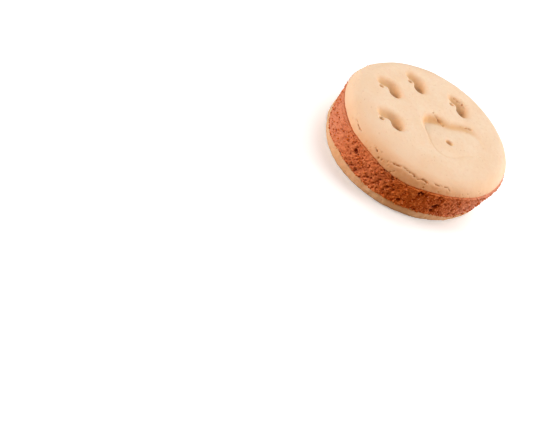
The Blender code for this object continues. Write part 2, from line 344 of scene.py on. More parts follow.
def plan_factor(angle):
    """How far out the outline lies in this direction, as a share of a circle's radius."""
    oval = OVAL * np.cos(2.0 * (angle - rad(OVAL_DIRECTION)))
    corners = CORNERS * np.cos(3.0 * (angle - rad(CORNER_DIRECTION)))
    return 1.0 + oval + corners


def bumps(angle, entries):
    """The sum of smooth bumps round the biscuit, each given by direction, spread and amount."""
    total = np.zeros_like(angle)
    for direction, spread, amount in entries:
        turn = np.degrees(np.angle(np.exp(1j * (angle - rad(direction)))))
        total += amount * np.exp(-((turn / spread) ** 2))
    return total


def seam_waves(angle, seed):
    """Small waves that the soft dough leaves along a seam."""
    points = np.stack([np.cos(angle), np.sin(angle), np.full_like(angle, seed)], axis=-1)
    return SEAM_UNEVENNESS * wavy(RADIUS * points, SEAM_WAVES)


def upper_seam(angle):
    """Height of the seam under the upper layer."""
    return UPPER_SEAM - bumps(angle, UPPER_SAGS) + seam_waves(angle, 0.3)


def lower_seam(angle):
    """Height of the seam over the lower layer."""
    return LOWER_SEAM - bumps(angle, LOWER_SAGS) + seam_waves(angle, 0.7)


# Arrays of points


def waves(points, size):
    """Smooth noise between about -1 and 1 at each point, with bumps of this size."""
    scaled = np.asarray(points, float).reshape(-1, 3) / size
    values = [noise.noise(point) for point in scaled]
    return np.array(values).reshape(np.asarray(points).shape[:-1])


def wavy(points, entries):
    """The sum of waves, each given by height, size of the bumps and shift of the pattern."""
    return sum(height * waves(points + shift, size) for height, size, shift in entries)


def grains(points, size):
    """Distance to the nearest of scattered points, in units of their spacing: 0 in the middle of a
    grain and about 0.6 between grains."""
    scaled = np.asarray(points, float).reshape(-1, 3) / size
    values = [noise.voronoi(point)[0][0] for point in scaled]
    return np.array(values).reshape(np.asarray(points).shape[:-1])


def disc_grid(cells):
    """A square grid pressed out into a disc of radius 1. Returns each point's distance from the
    middle and direction, and the quads, which face up."""
    line = np.linspace(-1.0, 1.0, cells + 1)
    across, along = np.meshgrid(line, line)
    wide = np.abs(across) >= np.abs(along)
    reach = np.where(wide, across, along)
    other = np.where(wide, along, across)
    turn = 0.25 * math.pi * np.divide(other, reach, out=np.zeros_like(reach), where=reach != 0.0)
    turn = np.where(wide, turn, 0.5 * math.pi - turn)
    angle = np.arctan2(reach * np.sin(turn), reach * np.cos(turn))
    corner = np.arange(cells)[:, None] * (cells + 1) + np.arange(cells)[None, :]
    corner = corner.ravel()
    quads = np.stack([corner, corner + 1, corner + cells + 2, corner + cells + 1], axis=1)
    return np.abs(reach).ravel(), angle.ravel(), quads


def rim_loop(cells):
    """The grid's border points in order, anticlockwise."""
    row = cells + 1
    lower = list(range(cells))
    right = [cells + i * row for i in range(cells)]
    upper = [cells * row + cells - i for i in range(cells)]
    left = [(cells - i) * row for i in range(cells)]
    return lower + right + upper + left


def along_profile(profile, distance):
    """Radius and height at a distance along a profile, and the outward normal there."""
    profile = np.array(profile)
    steps = np.hypot(*np.diff(profile, axis=0).T)
    reached = np.concatenate([[0.0], np.cumsum(steps)])
    distance = distance * reached[-1]
    radius = np.interp(distance, reached, profile[:, 0])
    height = np.interp(distance, reached, profile[:, 1])
    nudge = 0.15
    ahead = np.clip(distance + nudge, 0.0, reached[-1])
    behind = np.clip(distance - nudge, 0.0, reached[-1])
    run = np.interp(ahead, reached, profile[:, 0]) - np.interp(behind, reached, profile[:, 0])
    rise = np.interp(ahead, reached, profile[:, 1]) - np.interp(behind, reached, profile[:, 1])
    length = np.hypot(run, rise)
    return radius, height, -rise / length, run / length


def offset_from_path(points, path):
    """How far each point lies from a path of straight pieces, and the way there from the path."""
    nearest = np.full(len(points), np.inf)
    offset = np.zeros_like(points)
    path = np.array(path, float)
    for start, end in zip(path, path[1:]):
        piece = end - start
        share = np.clip((points - start) @ piece / (piece @ piece), 0.0, 1.0)
        way = points - start - share[:, None] * piece
        away = np.linalg.norm(way, axis=1)
        closer = away < nearest
        nearest = np.where(closer, away, nearest)
        offset = np.where(closer[:, None], way, offset)
    return nearest, offset


def distance_to_path(points, path):
    """Distance from each point to a path of straight pieces."""
    return offset_from_path(points, path)[0]


def inside(points, outline):
    """Whether each point lies inside a closed outline."""
    within = np.zeros(len(points), bool)
    for start, end in zip(outline, np.roll(outline, -1, axis=0)):
        crosses = (start[1] > points[:, 1]) != (end[1] > points[:, 1])
        rise = end[1] - start[1] if end[1] != start[1] else 1e-9
        place = start[0] + (points[:, 1] - start[1]) * (end[0] - start[0]) / rise
        within ^= crosses & (points[:, 0] < place)
    return within


def make_mesh(name, points, faces, material, attributes):
    """A smooth mesh object from points in millimetres, with a number per point for each attribute."""
    mesh = bpy.data.meshes.new(name)
    loops = [tuple(int(index) for index in face) for face in faces]
    mesh.from_pydata((np.asarray(points) * MM).tolist(), [], loops)
    for label, values in attributes.items():
        layer = mesh.attributes.new(label, "FLOAT", "POINT")
        layer.data.foreach_set("value", np.asarray(values, np.float32))
    mesh.shade_smooth()
    mesh.materials.append(material)
    piece = bpy.data.objects.new(name, mesh)
    bpy.context.scene.collection.objects.link(piece)
    return piece


# The paw print


def rounded_triangle(turns):
    """The floor of the main pad, with the corner by the toes at +X."""
    stretch = PAD_STRETCH * np.cos(2.0 * (turns - rad(PAD_STRETCH_TURN)))
    lobes = PAD_LOBES * np.cos(3.0 * turns)
    squareness = PAD_SQUARENESS * np.cos(4.0 * turns)
    radius = PAD_RADIUS * (1.0 + stretch + lobes + squareness)
    return np.stack([radius * np.cos(turns), radius * np.sin(turns)], axis=1)


def heading(direction):
    """The unit vector in this direction."""
    return np.array([math.cos(rad(direction)), math.sin(rad(direction))])


def pressed_wall(past, softness):
    """The share of a pad's depth at a distance past the middle of its wall."""
    wall = 1.0 / (1.0 + np.exp(np.clip(past / softness, -30.0, 30.0)))
    shoulder = np.exp(-np.maximum(past, 0.0) / SHOULDER_LENGTH)
    return (1.0 - SHOULDER_SHARE) * wall + SHOULDER_SHARE * shoulder


def toe_dent(points, toe):
    """Depth of a toe at each point, how steeply its wall encloses the point, and how much painted shade
    it gets.
    """
    across, along, direction, aside = toe
    ahead = heading(direction)
    right = np.array([ahead[1], -ahead[0]])
    tip_end = np.array([across, along]) + aside * right + TOE_TIP * ahead
    shares = np.linspace(0.0, 1.0, SPINE_POINTS)
    bend = 4.0 * TOE_BEND * shares * (1.0 - shares)
    spine = tip_end - np.outer(TOE_SPINE * shares, ahead) + np.outer(bend, right)
    away, offset = offset_from_path(points, spine)
    side = offset @ right / np.maximum(away, NEAR_ZERO)
    share = np.clip((tip_end - points) @ ahead / TOE_SPINE, -0.2, 1.15)
    full = TOE_TIP_DEPTH + share * (TOE_HEEL_DEPTH - TOE_TIP_DEPTH)
    near_wall = TOE_TIP_WALL + np.clip(1.6 * share, 0.0, 1.0) * (TOE_NEAR_WALL - TOE_TIP_WALL)
    softness = near_wall + (0.5 + 0.5 * side) * (TOE_FAR_WALL - near_wall)
    by_tip = np.exp(-(((share - TOE_NARROWEST) / TOE_NARROWING_SPREAD) ** 2))
    narrower = TOE_NARROWING * (0.5 - 0.5 * side) * by_tip
    by_heel = np.clip(2.0 * share - 1.0, 0.0, 1.0)
    half_width = TOE_HALF_WIDTH + by_heel * (TOE_HEEL_HALF_WIDTH - TOE_HALF_WIDTH)
    level = pressed_wall(away - half_width + narrower, softness)
    steep = 4.0 * level * (1.0 - level) * full / TOE_HEEL_DEPTH
    heel = np.clip(2.0 * share - 0.8, 0.0, 1.0)
    # Painted shade, strongest deep in the dent and at the heel.
    print_painted_shade = level ** 1.1 * (TOE_PAINTED_SHADE + (TOE_HEEL_PAINTED_SHADE - 0.25 * side) * heel)
    return full * level, steep, print_painted_shade


def pad_dent(points):
    """Depth of the main pad at each point, how steeply its wall encloses the point, and how much
    painted shade it gets there."""
    centre = np.array(PAD_HOLE) + np.array(PAD_CENTRE_FROM_HOLE)
    ahead = heading(PAD_CORNER_DIRECTION)
    floor = rounded_triangle(np.linspace(0.0, math.tau, PAD_POINTS + 1)[:-1])
    floor = centre + floor[:, :1] * ahead + floor[:, 1:] * np.array([-ahead[1], ahead[0]])
    away, offset = offset_from_path(points, np.vstack([floor, floor[:1]]))
    outwards = np.where(inside(points, floor), -1.0, 1.0)
    apart = np.maximum(away, NEAR_ZERO)
    far = np.clip(outwards * (offset @ heading(PAD_FAR_DIRECTION)) / apart, 0.0, 1.0)
    away = outwards * away
    deepest = heading(PAD_DEEPEST_DIRECTION)
    reach = (floor - centre) @ deepest
    share = np.clip(((points - centre) @ deepest - reach.min()) / np.ptp(reach), 0.0, 1.0)
    full = PAD_SHALLOWEST + share ** PAD_FLOOR_CURVE * (PAD_DEEPEST - PAD_SHALLOWEST)
    softness = PAD_NEAR_WALL + far * (PAD_FAR_WALL - PAD_NEAR_WALL)
    level = pressed_wall(away - PAD_WALL_OUT - PAD_FAR_WALL_OUT * far, softness)
    pillow = PAD_PILLOW * (1.0 - np.exp(np.minimum(away, 0.0) / PAD_PILLOW_REACH))
    steep = 4.0 * level * (1.0 - level) * full / TOE_HEEL_DEPTH
    to_fading = 0.9 * outwards * (offset @ heading(PAD_FADING_DIRECTION))
    fading = np.clip(0.6 - to_fading / apart, 0.0, 1.0)
    crease = fading * (1.0 - far) * np.exp(-((away / PAD_CREASE_WIDTH) ** 2))
    # Painted shade on the walls, most on the far one, and along the crease.
    wall_painted_shade = PAD_PAINTED_SHADE * level * steep * (PAD_NEAR_PAINTED_SHADE + PAD_FAR_PAINTED_SHADE * far)
    print_painted_shade = np.maximum(wall_painted_shade, PAD_CREASE_PAINTED_SHADE * crease)
    return full * level - pillow + PAD_CREASE * crease, steep, print_painted_shade


def docker_hole(points, centre, radius):
    """Depth of a docker hole with its soft crater, drawn out a little one way."""
    way = heading(HOLE_STRETCH_DIRECTION)
    offset = points - np.array(centre)
    away = np.hypot(offset @ way / HOLE_STRETCH, offset @ np.array([-way[1], way[0]]))
    shaft = HOLE_DEPTH * 0.5 * (1.0 - np.tanh((away - radius) / HOLE_SOFTNESS))
    crater = CRATER_DEPTH * np.exp(-((away / CRATER_RADIUS) ** 2))
    return shaft + crater, shaft / HOLE_DEPTH


def paw_print(points):
    """Depth of the paw print over the face, how enclosed each point lies in it and how much painted
    shade it gets.
    """
    depth, enclosed, print_painted_shade = pad_dent(points)
    for toe in TOES:
        pressed, steep, toe_painted_shade = toe_dent(points, toe)
        depth = np.maximum(depth, pressed) + OVERLAP_SHARE * np.minimum(depth, pressed)
        enclosed = np.maximum(enclosed, steep)
        print_painted_shade = np.maximum(print_painted_shade, toe_painted_shade)
    spots = np.column_stack([points, np.zeros(len(points))])
    depth += TROUGH_ROUGHNESS * enclosed * wavy(spots, TROUGH_WAVES)
    holes = [(place, HOLE_RADIUS) for place in TOE_HOLES] + [(PAD_HOLE, PAD_HOLE_RADIUS)]
    for place, radius in holes:
        shaft, dark = docker_hole(points, place, radius)
        depth += shaft
        # Painted shade inside each hole.
        enclosed = np.maximum(enclosed, HOLE_SHADE * dark)
        print_painted_shade = np.maximum(print_painted_shade, HOLE_PAINTED_SHADE * dark)
    return depth, np.clip(enclosed, 0.0, 1.0), np.clip(print_painted_shade, 0.0, 1.5)


# The layers


def place_on_plan(radius, angle):
    """Across and along of points at these radii and directions of the biscuit's plan."""
    spread = radius * plan_factor(angle)
    return np.stack([spread * np.cos(angle), spread * np.sin(angle)], axis=1) - np.array(PLAN_MIDDLE)


def shoulder_profile(underside):
    """Profile of the upper layer: the face, the shoulder, its lower edge and a strip of underside."""
    points = [(0.0, THICKNESS)]
    inner = RADIUS - SHOULDER_IN
    lowest = THICKNESS - SHOULDER_HEIGHT
    end = math.acos((underside + EDGE_ROUNDING - lowest) / SHOULDER_HEIGHT)
    for turn in np.linspace(0.0, end, 40):
        height = lowest + SHOULDER_HEIGHT * math.cos(turn)
        points.append((inner + SHOULDER_IN * math.sin(turn), height))
    edge = points[-1][0] - EDGE_ROUNDING
    for turn in np.linspace(0.0, 0.5 * math.pi, 8)[1:]:
        height = underside + EDGE_ROUNDING * (1.0 - math.sin(turn))
        points.append((edge + EDGE_ROUNDING * math.cos(turn), height))
    points.append((edge - HIDDEN_STRIP, underside - HIDDEN_DROP))
    return points


def surface_point(angle, radius):
    """The point of the undisturbed face or shoulder in this direction at this radius."""
    share = np.clip((radius - (RADIUS - SHOULDER_IN)) / SHOULDER_IN, 0.0, 1.0)
    height = THICKNESS - SHOULDER_HEIGHT * (1.0 - math.sqrt(1.0 - share * share))
    turn = np.array([rad(angle)])
    across, along = place_on_plan(np.array([radius]), turn)[0]
    return (across, along, height)


def press_cracks(points, cracks, depth):
    """How deep cracks go at each point, and how proud their lips stand."""
    shifts = [waves(points + shift, CRACK_JAG_SIZE) for shift in (0.0, 31.0, 67.0)]
    jagged = points + CRACK_JAG * np.stack(shifts, axis=1)
    deep = np.zeros(len(points))
    lips = np.zeros(len(points))
    broken = np.clip(0.95 + 0.9 * waves(points + 9.0, 0.8), *CRACK_SHARES)
    for path, half_width in cracks:
        away = distance_to_path(jagged, path)
        gape = np.clip(1.0 - (away / half_width / broken) ** 2, 0.0, 1.0)
        deep = np.maximum(deep, depth * broken * gape)
        lip = np.exp(-(((away - CRACK_LIP_AWAY) / CRACK_LIP_WIDTH) ** 2))
        lips = np.maximum(lips, CRACK_LIP * lip)
    return deep, lips


def press_pores(points, places, pore_depth):
    """How deep small round pores go at each point. Each place is a point and a radius."""
    tree = kdtree.KDTree(len(points))
    for index, point in enumerate(points):
        tree.insert(point, index)
    tree.balance()
    deep = np.zeros(len(points))
    for place, radius in places:
        for _, index, away in tree.find_range(place, radius):
            deep[index] = max(deep[index], pore_depth * radius * (1.0 - (away / radius) ** 2))
    return deep


def shoulder_pores(seed):
    """Places and radii of pores in the upper layer: the named ones, and seeded ones of which most
    lie low on the shoulder."""
    draws = random.Random(seed)
    places = [(surface_point(angle, radius), size) for angle, radius, size in SHOULDER_PITS]
    for _ in range(SHOULDER_PORES):
        angle = draws.uniform(0.0, 360.0)
        radius = RADIUS - abs(draws.gauss(0.0, 1.0)) - 0.25
        places.append((surface_point(angle, radius), draws.uniform(*SHOULDER_PORE_SIZES)))
    for _ in range(FACE_PORES):
        angle = draws.uniform(0.0, 360.0)
        radius = (RADIUS - SHOULDER_IN) * math.sqrt(draws.random())
        places.append((surface_point(angle, radius), draws.uniform(*FACE_PORE_SIZES)))
    return places


def upper_layer(dough):
    """The upper biscuit, with the paw print, the cracks and the pores in its skin."""
    share, angle, quads = disc_grid(TOP_CELLS)
    share = share * (1.0 + EDGE_FINENESS * (1.0 - share))
    mean = UPPER_SEAM + UPPER_EDGE_LIFT
    radius, height, out, up = along_profile(shoulder_profile(mean), share)
    flat = place_on_plan(radius, angle)
    skin = np.column_stack([flat, height])
    depth, enclosed, print_painted_shade = paw_print(flat)
    on_face = height > UPPER_SEAM + PRINT_MARGIN
    depth = np.where(on_face, depth, 0.0)
    paths = [([surface_point(a, r) for a, r in path], width) for path, width in SHOULDER_CRACKS]
    cracks, lips = press_cracks(skin, paths, CRACK_DEPTH)
    face_paths = [([(x, y, THICKNESS) for x, y in path], width) for path, width in FACE_TEARS]
    tears, tear_lips = press_cracks(skin, face_paths, TEAR_DEPTH)
    tears = np.where(height > THICKNESS - TEAR_REACH, tears, 0.0)
    pores = press_pores(skin, shoulder_pores(UPPER_PORE_SEED), UPPER_PORE_DEPTH)
    outside = out > UNDERSIDE_SLOPE
    rough = wavy(skin, UPPER_WAVES)
    low = np.clip((THICKNESS - height) / (THICKNESS - UPPER_SEAM), 0.0, 1.0)
    rough += LOW_ROUGHNESS * low * wavy(skin, LOW_WAVES)
    proud = rough + lips + tear_lips - cracks - tears - pores - SKIN_INSET
    proud = np.where(outside, proud, 0.0)
    below_face = np.clip((THICKNESS - height) / (THICKNESS - mean), 0.0, 1.0)
    lift = (upper_seam(angle) + UPPER_EDGE_LIFT - mean) * below_face
    points = np.column_stack([
        flat[:, 0] + proud * out * np.cos(angle),
        flat[:, 1] + proud * out * np.sin(angle),
        height + lift + proud * up - depth,
    ])
    # Painted shade in the cracks, tears and pores, and on the steep walls of the print.
    broken = np.maximum(cracks / CRACK_DEPTH, tears / TEAR_DEPTH)
    painted_shade = np.clip(np.maximum(broken, PORE_SHADE * pores), 0.0, 1.0)
    painted_shade = np.maximum(CAVITY_SHADE * painted_shade, PRINT_SHADE * enclosed)
    # Baked darker low on the shoulder all round, with painted shade towards the front on the shoulder
    # and the face's edge.
    edge = np.clip((radius - FACE_TINT_START) / FACE_TINT_RUN, 0.0, 1.0)
    baking_and_painted_shade = low * (SHOULDER_BAKED + FRONT_PAINTED_SHADE_SHARE * bumps(angle, FRONT_PAINTED_SHADE))
    baking_and_painted_shade += FACE_PAINTED_SHADE_SHARE * edge * bumps(angle, FACE_PAINTED_SHADE)
    faces = [tuple(quad) for quad in quads]
    faces.append(tuple(reversed(rim_loop(TOP_CELLS))))
    # The dent attribute carries the print's painted shade.
    attributes = {"painted_shade": painted_shade, "baking_and_painted_shade": baking_and_painted_shade, "dent": np.where(on_face, print_painted_shade, 0.0)}
    return make_mesh("upper_biscuit_skin", points, faces, dough, attributes)


def lower_layer(dough):
    """The lower biscuit, with a flat underside, a rounded foot and an uneven side."""
    share, angle, quads = disc_grid(BASE_CELLS)
    top = LOWER_SEAM - BASE_TOP_DROP
    profile = [(0.0, 0.0)]
    for turn in np.linspace(0.0, 0.5 * math.pi, 14):
        reach = BASE_RADIUS - BASE_FOOT * (1.0 - math.sin(turn))
        profile.append((reach, BASE_FOOT * (1.0 - math.cos(turn))))
    edge = BASE_TOP_RADIUS - EDGE_ROUNDING
    for turn in np.linspace(0.0, 0.5 * math.pi, 8):
        reach = edge + EDGE_ROUNDING * math.cos(turn)
        profile.append((reach, top - EDGE_ROUNDING * (1.0 - math.sin(turn))))
    profile.append((edge - HIDDEN_STRIP, top))
    radius, height, out, up = along_profile(profile, share)
    out, up = -out, -up
    near_rim = np.clip((radius - BASE_SWELL_START) / BASE_SWELL_RUN, 0.0, 1.0)
    swell = bumps(angle, BASE_SWELLINGS) * near_rim
    flat = place_on_plan(radius, angle)
    skin = np.column_stack([flat, height])
    draws = random.Random(BASE_PORE_SEED)
    places = []
    for _ in range(BASE_SIDE_PORES):
        at = rad(draws.uniform(0.0, 360.0))
        x, y = place_on_plan(np.array([BASE_RADIUS]), np.array([at]))[0]
        height_there = draws.uniform(0.3, 2.6)
        places.append(((x, y, height_there), draws.uniform(*BASE_SIDE_PORE_SIZES)))
    for _ in range(UNDERSIDE_PORES):
        at = rad(draws.uniform(0.0, 360.0))
        reach = UNDERSIDE_PORE_REACH * math.sqrt(draws.random())
        x, y = place_on_plan(np.array([reach]), np.array([at]))[0]
        places.append(((x, y, 0.0), draws.uniform(*UNDERSIDE_PORE_SIZES)))
    pores = press_pores(skin, places, BASE_PORE_DEPTH)
    side = np.clip(height / BASE_SIDE_HEIGHT, 0.0, 1.0)
    rough = side * wavy(skin, BASE_WAVES)
    proud = rough + swell * np.clip(out, 0.0, 1.0) - pores
    lift = (lower_seam(angle) - LOWER_SEAM) * np.clip(height / top, 0.0, 1.0)
    outwards = proud * out + swell * (1.0 - np.clip(out, 0.0, 1.0))
    points = np.column_stack([
        flat[:, 0] + outwards * np.cos(angle),
        flat[:, 1] + outwards * np.sin(angle),
        np.maximum(height + lift + proud * up, 0.0),
    ])
    # Painted shade in the pores.
    painted_shade = np.clip(PORE_SHADE * pores, 0.0, 1.0)
    # Baked colour all over, with random blotches, and darker still towards 160 and 300 degrees.
    baking_and_painted_shade = BASE_BAKED + BASE_BLOTCHES * waves(skin + 60.0, BASE_BLOTCH_SIZE)
    baking_and_painted_shade += BASE_DARKER_SIDES_SHARE * bumps(angle, BASE_DARKER_SIDES)
    faces = [tuple(reversed(quad)) for quad in quads.tolist()]
    faces.append(tuple(rim_loop(BASE_CELLS)))
    attributes = {"painted_shade": painted_shade, "baking_and_painted_shade": baking_and_painted_shade, "dent": np.zeros(len(points))}
    return make_mesh("lower_biscuit_skin", points, faces, dough, attributes)


def filling_pits(seed):
    """Places and sizes of the pits in the filling: the named ones, larger seeded ones on the far
    side and many small seeded ones all round."""
    draws = random.Random(seed)
    pits = [(rad(direction), height, radius) for direction, height, radius in BIG_PITS]
    for _ in range(FAR_PITS):
        direction = rad(draws.uniform(270.0, 500.0))
        pits.append((direction, draws.uniform(3.4, 9.6), draws.uniform(*FAR_PIT_SIZES)))
    for _ in range(SMALL_PITS):
        direction = rad(draws.uniform(0.0, 360.0))
        pits.append((direction, draws.uniform(3.0, 10.4), draws.uniform(*SMALL_PIT_SIZES)))
    return pits


def filling_side(red):
    """The filling: a crumbly side with grains and pits, a flat lower face, and an upper one that is
    sunk under the upper layer."""
    turns = np.arange(FILLING_STEPS) * math.tau / FILLING_STEPS
    low = lower_seam(turns) - FILLING_UNDER
    high = upper_seam(turns) + FILLING_OVER
    share = np.linspace(0.0, 1.0, FILLING_ROWS + 1)
    heights = low[None, :] + share[:, None] * (high - low)[None, :]
    angle = np.broadcast_to(turns, heights.shape)
    spread = FILLING_RADIUS * plan_factor(angle) + bumps(angle, FILLING_SWELLINGS)
    skin = np.stack([spread * np.cos(angle), spread * np.sin(angle), heights], axis=-1)
    flat_skin = skin.reshape(-1, 3)
    relief = wavy(skin, FILLING_WAVES)
    relief += sum(
        height * (GRAIN_LEVEL - grains(skin + shift, size)) for height, size, shift in FILLING_GRAINS
    )
    relief += wavy(skin, FILLING_FINE_WAVES)
    places = []
    for pit_angle, height, radius in filling_pits(PIT_SEED):
        out = FILLING_RADIUS * plan_factor(np.array([pit_angle]))[0]
        places.append(((out * math.cos(pit_angle), out * math.sin(pit_angle), height), radius))
    pits = press_pores(flat_skin, places, PIT_DEPTH).reshape(heights.shape)
    relief -= np.minimum(pits, DEEPEST_PIT)
    ends = np.minimum(share, 1.0 - share)[:, None] * (high - low)[None, :]
    relief += FILLING_RIM * np.exp(-ends / FILLING_RIM_HEIGHT)
    skin[..., 0] += relief * np.cos(angle) - PLAN_MIDDLE[0]
    skin[..., 1] += relief * np.sin(angle) - PLAN_MIDDLE[1]
    points = skin.reshape(-1, 3)
    lid = INNER_SHARE * points[-FILLING_STEPS:]
    lid[:, 2] = points[-FILLING_STEPS:, 2] - INNER_DROP
    points = np.vstack([points, lid])
    rows = []
    for row in range(FILLING_ROWS + 1):
        start = row * FILLING_STEPS
        for i in range(FILLING_STEPS):
            j = (i + 1) % FILLING_STEPS
            rows.append((start + i, start + j, start + FILLING_STEPS + j, start + FILLING_STEPS + i))
    rows.append(tuple(range(FILLING_STEPS - 1, -1, -1)))
    rows.append(tuple(range(len(points) - FILLING_STEPS, len(points))))
    under_lid = np.zeros(FILLING_STEPS)
    attributes = {
        # Painted shade in the pits.
        "painted_shade": np.concatenate([np.clip(-relief / PAINTED_SHADE_DEPTH, 0.0, 1.0).ravel(), under_lid]),
        # Painted highlight on the proud bits.
        "proud": np.concatenate([np.clip(relief / PAINTED_HIGHLIGHT_HEIGHT, 0.0, 1.0).ravel(), under_lid]),
        # Painted light on the sides that face the fill lights.
        "pale": np.concatenate([bumps(angle, FILLING_PAINTED_LIGHT).ravel(), under_lid]),
    }
    return make_mesh("filling_side", points, rows, red, attributes)


def crumb_places(seed):
    """Seeded directions, shares of the filling's height, sizes and tints of the loose crumbs: some
    all over the filling, and the others along its two seams."""
    draws = random.Random(seed)
    places = []
    for _ in range(CRUMBS):
        small = draws.random() < SMALL_CRUMBS
        size = draws.uniform(*(SMALL_CRUMB_SIZES if small else LARGE_CRUMB_SIZES))
        places.append((draws.uniform(0.0, 360.0), draws.uniform(0.04, 0.96), size, draws.random()))
    for _ in range(SEAM_CRUMBS):
        for seam, spread, smallest, largest in SEAM_CRUMB_ROWS:
            direction = draws.uniform(0.0, 360.0)
            share = draws.gauss(seam, spread)
            size = draws.uniform(smallest, largest)
            places.append((direction, share, size, 0.5 * draws.random()))
    return places


def crumbs(red):
    """Loose crumbs on the filling's side: small lumps, each squashed and turned its own way."""
    lump = bmesh.new()
    bmesh.ops.create_icosphere(lump, subdivisions=1, radius=1.0)
    shape = np.array([vertex.co[:] for vertex in lump.verts])
    faces = np.array([[vertex.index for vertex in face.verts] for face in lump.faces])
    lump.free()
    draws = random.Random(CRUMB_SHAPE_SEED)
    points = []
    rows = []
    tints = []
    for direction, share, size, tint in crumb_places(CRUMB_SEED):
        turn = np.array([rad(direction)])
        low = lower_seam(turn)[0]
        height = low + share * (upper_seam(turn)[0] - low)
        out = FILLING_RADIUS * plan_factor(turn)[0] + bumps(turn, FILLING_SWELLINGS)[0] + CRUMB_STAND
        across = out * math.cos(turn[0]) - PLAN_MIDDLE[0]
        along = out * math.sin(turn[0]) - PLAN_MIDDLE[1]
        middle = np.array([across, along, height])
        squash = np.array([draws.uniform(0.6, 1.0) for _ in range(3)])
        spin = np.array(Euler([draws.uniform(0.0, math.tau) for _ in range(3)]).to_matrix())
        rough = 1.0 + CRUMB_ROUGHNESS * waves(shape + middle, 0.9)
        rows.append(faces + len(points) * len(shape))
        points.append(middle + size * (shape * rough[:, None] * squash) @ spin.T)
        tints.append(np.full(len(shape), tint))
    tints = np.concatenate(tints)
    attributes = {"painted_shade": np.zeros(len(tints)), "proud": tints, "pale": 0.9 * tints ** 4}
    return make_mesh("filling_crumbs", np.vstack(points), np.vstack(rows), red, attributes)


# Materials


class Nodes:
    """Builds a material's node tree in short steps."""

    def __init__(self, name):
        self.material = bpy.data.materials.new(name)
        self.material.use_nodes = True
        self.tree = self.material.node_tree
        self.shader = self.tree.nodes["Principled BSDF"]
        coordinates = self.tree.nodes.new("ShaderNodeTexCoord")
        self.place = coordinates.outputs["Object"]

    def link(self, output, target):
        """Joins an output to an input."""
        self.tree.links.new(output, target)

    def noise(self, size, detail=3.0, roughness=0.5):
        """Noise with features of this size in millimetres."""
        node = self.tree.nodes.new("ShaderNodeTexNoise")
        node.inputs["Scale"].default_value = 1.0 / (size * MM)
        node.inputs["Detail"].default_value = detail
        node.inputs["Roughness"].default_value = roughness
        self.link(self.place, node.inputs["Vector"])
        return node.outputs["Fac"]

    def cells(self, size):
        """Distance to scattered points this far apart in millimetres."""
        node = self.tree.nodes.new("ShaderNodeTexVoronoi")
        node.inputs["Scale"].default_value = 1.0 / (size * MM)
        self.link(self.place, node.inputs["Vector"])
        return node.outputs["Distance"]

    def attribute(self, name):
        """The number that the mesh carries at each point under this name."""
        node = self.tree.nodes.new("ShaderNodeAttribute")
        node.attribute_name = name
        return node.outputs["Fac"]

    def spread(self, value, low, high, to_low=0.0, to_high=1.0):
        """A value from low to high, clamped and set out anew."""
        node = self.tree.nodes.new("ShaderNodeMapRange")
        node.inputs["From Min"].default_value = low
        node.inputs["From Max"].default_value = high
        node.inputs["To Min"].default_value = to_low
        node.inputs["To Max"].default_value = to_high
        self.link(value, node.inputs["Value"])
        return node.outputs["Result"]

    def mix(self, share, first, second):
        """A colour between two, each a colour value or an output."""
        node = self.tree.nodes.new("ShaderNodeMix")
        node.data_type = "RGBA"
        self.link(share, node.inputs["Factor"])
        for socket, colour in (("A", first), ("B", second)):
            target = next(i for i in node.inputs if i.name == socket and i.type == "RGBA")
            if isinstance(colour, tuple):
                target.default_value = (*colour, 1.0)
            else:
                self.link(colour, target)
        return next(o for o in node.outputs if o.type == "RGBA")

    def bump(self, height, strength, distance, after=None):
        """A bump of this distance in millimetres, on top of an earlier one."""
        node = self.tree.nodes.new("ShaderNodeBump")
        node.inputs["Strength"].default_value = strength
        node.inputs["Distance"].default_value = distance * MM
        self.link(height, node.inputs["Height"])
        if after is not None:
            self.link(after, node.inputs["Normal"])
        return node.outputs["Normal"]


DOUGH_PALE = (0.88, 0.685, 0.503)
DOUGH_WARM = (0.86, 0.635, 0.44)
# Baked colour of the low shoulder, and painted shade towards the front.
DOUGH_BAKED_AND_SHADED = (0.70, 0.36, 0.17)
# Painted shade in cracks, pores, holes and the print's steep walls.
DOUGH_SHADED = (0.57, 0.23, 0.07)
# Painted shade in the print.
DOUGH_PRESSED = (0.73, 0.44, 0.21)
# Deeper painted shade at the toes' heels and in the holes.
DOUGH_HEEL = (0.5, 0.24, 0.12)
DOUGH_GRAIN = (0.80, 0.54, 0.35)
DOUGH_SPECK = (0.62, 0.37, 0.22)


